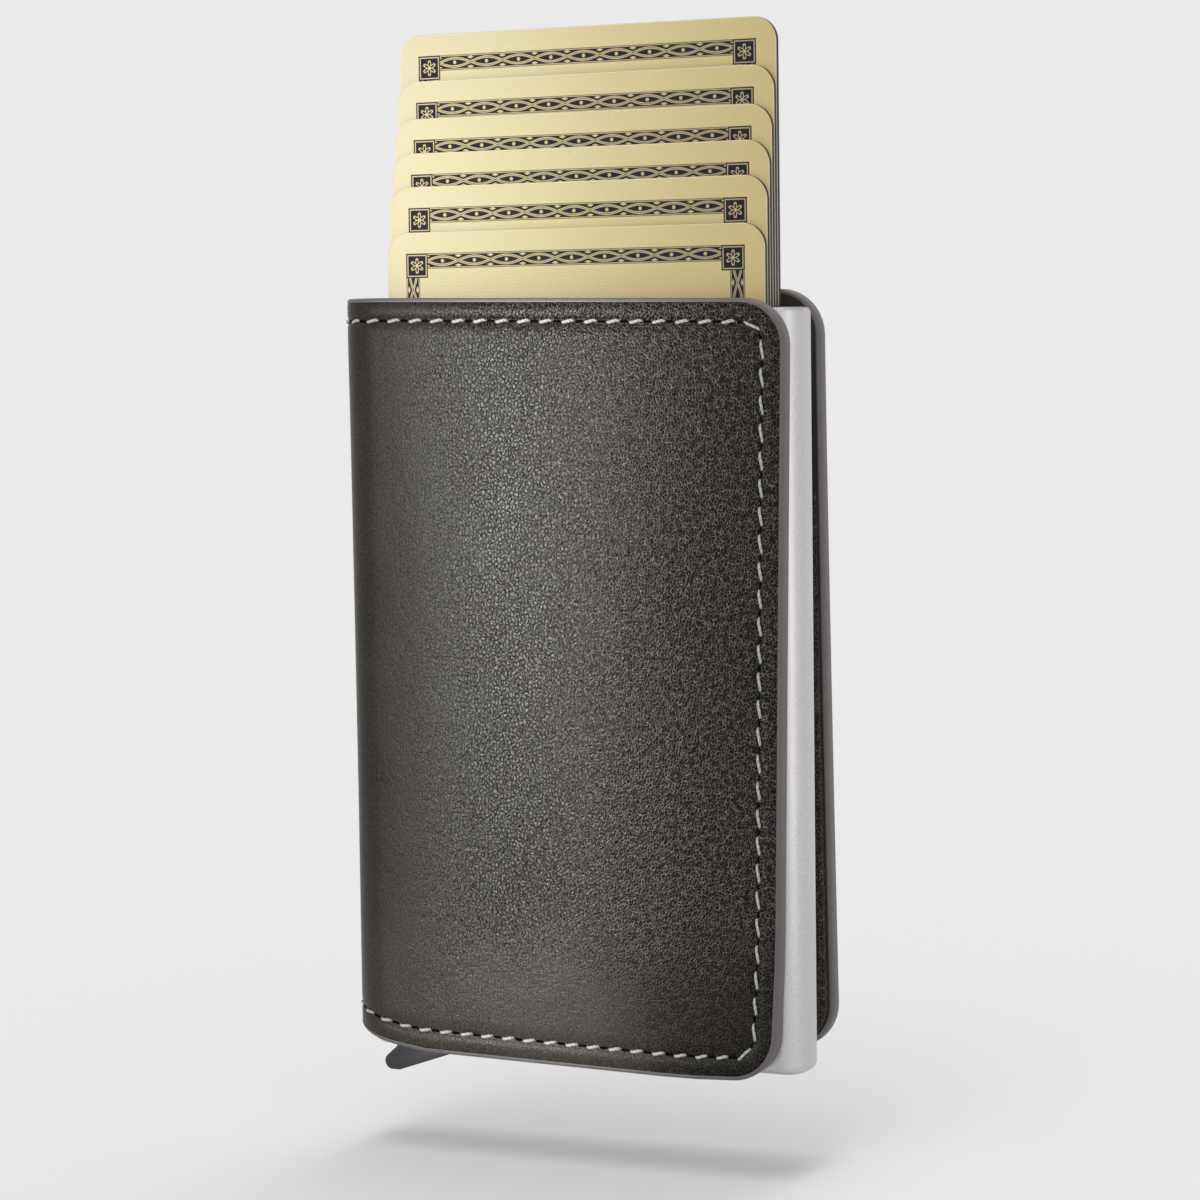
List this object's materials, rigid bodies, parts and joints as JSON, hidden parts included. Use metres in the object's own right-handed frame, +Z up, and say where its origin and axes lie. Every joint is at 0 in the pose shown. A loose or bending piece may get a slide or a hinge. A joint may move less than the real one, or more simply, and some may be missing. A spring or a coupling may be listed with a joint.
{
  "type": "card wallet",
  "caption": "Slim pop-up card wallet: a stitched leather cover folded round a flat aluminium card case, with a foot lever that fans the cards out of its mouth.",
  "frame": {"origin": "middle of the front cover's outer face", "axes": "+X towards the open edge of the cover, +Y from the front face to the rear one, +Z up, out of the case's mouth"},
  "size_m": [0.065, 0.0149, 0.139],
  "materials": {
    "leather": "fine pebbled grain, satin",
    "lining": "matt woven",
    "board": "matt",
    "thread": "twisted",
    "aluminium": "satin anodised",
    "steel": "ground",
    "lever": "moulded",
    "felt": "felted",
    "tape": "matt",
    "card": "satin gold print"
  },
  "bodies": {
    "case": {"card_case": "aluminium", "mounting_tape": "tape", "front_friction_strip": "felt", "rear_friction_strip": "felt", "lever_pivot_pin": "steel", "front_cover_leather": "leather", "front_cover_board": "board", "front_cover_lining": "lining", "front_cover_thread": "thread"},
    "spine": {"spine_leather": "leather", "spine_lining": "lining"},
    "rear_flap": {"rear_cover_leather": "leather", "rear_cover_board": "board", "rear_cover_lining": "lining", "rear_cover_thread": "thread", "upper_pocket": "leather", "lower_pocket": "leather"},
    "lever": {"ejector_lever": "lever"},
    "card_1": {"card_1": "card"},
    "card_2": {"card_2": "card"},
    "card_3": {"card_3": "card"},
    "card_4": {"card_4": "card"},
    "card_5": {"card_5": "card"},
    "card_6": {"card_6": "card"}
  },
  "joints": [
    {"name": "spine_fold", "type": "hinge", "parent": "case", "child": "spine", "pos_m": [-0.03174, 0.00176, 0], "axis": [0, 0, 1], "range_deg": [0, 90]},
    {"name": "flap_fold", "type": "hinge", "parent": "spine", "child": "rear_flap", "pos_m": [-0.03174, 0.01314, 0], "axis": [0, 0, 1], "range_deg": [0, 90]},
    {"name": "lever_swing", "type": "hinge", "parent": "case", "child": "lever", "pos_m": [-0.0275, 0.0065, -0.046], "axis": [0, 1, 0], "range_deg": [0, 50]},
    {"name": "card_1_slide", "type": "slide", "parent": "case", "child": "card_1", "axis": [0, 0, 1], "range_m": [-0.0104, 0]},
    {"name": "card_2_slide", "type": "slide", "parent": "case", "child": "card_2", "axis": [0, 0, 1], "range_m": [-0.01643, 0]},
    {"name": "card_3_slide", "type": "slide", "parent": "case", "child": "card_3", "axis": [0, 0, 1], "range_m": [-0.02088, 0]},
    {"name": "card_4_slide", "type": "slide", "parent": "case", "child": "card_4", "axis": [0, 0, 1], "range_m": [-0.02547, 0]},
    {"name": "card_5_slide", "type": "slide", "parent": "case", "child": "card_5", "axis": [0, 0, 1], "range_m": [-0.03044, 0]},
    {"name": "card_6_slide", "type": "slide", "parent": "case", "child": "card_6", "axis": [0, 0, 1], "range_m": [-0.0366, 0]}
  ],
  "couplings": [
    {"joint": "flap_fold", "follows": "spine_fold", "ratio": 1},
    {"joint": "card_1_slide", "follows": "lever_swing", "m_per_rad": -0.011917},
    {"joint": "card_2_slide", "follows": "lever_swing", "m_per_rad": -0.018823},
    {"joint": "card_3_slide", "follows": "lever_swing", "m_per_rad": -0.023927},
    {"joint": "card_4_slide", "follows": "lever_swing", "m_per_rad": -0.029181},
    {"joint": "card_5_slide", "follows": "lever_swing", "m_per_rad": -0.034885},
    {"joint": "card_6_slide", "follows": "lever_swing", "m_per_rad": -0.04194}
  ]
}
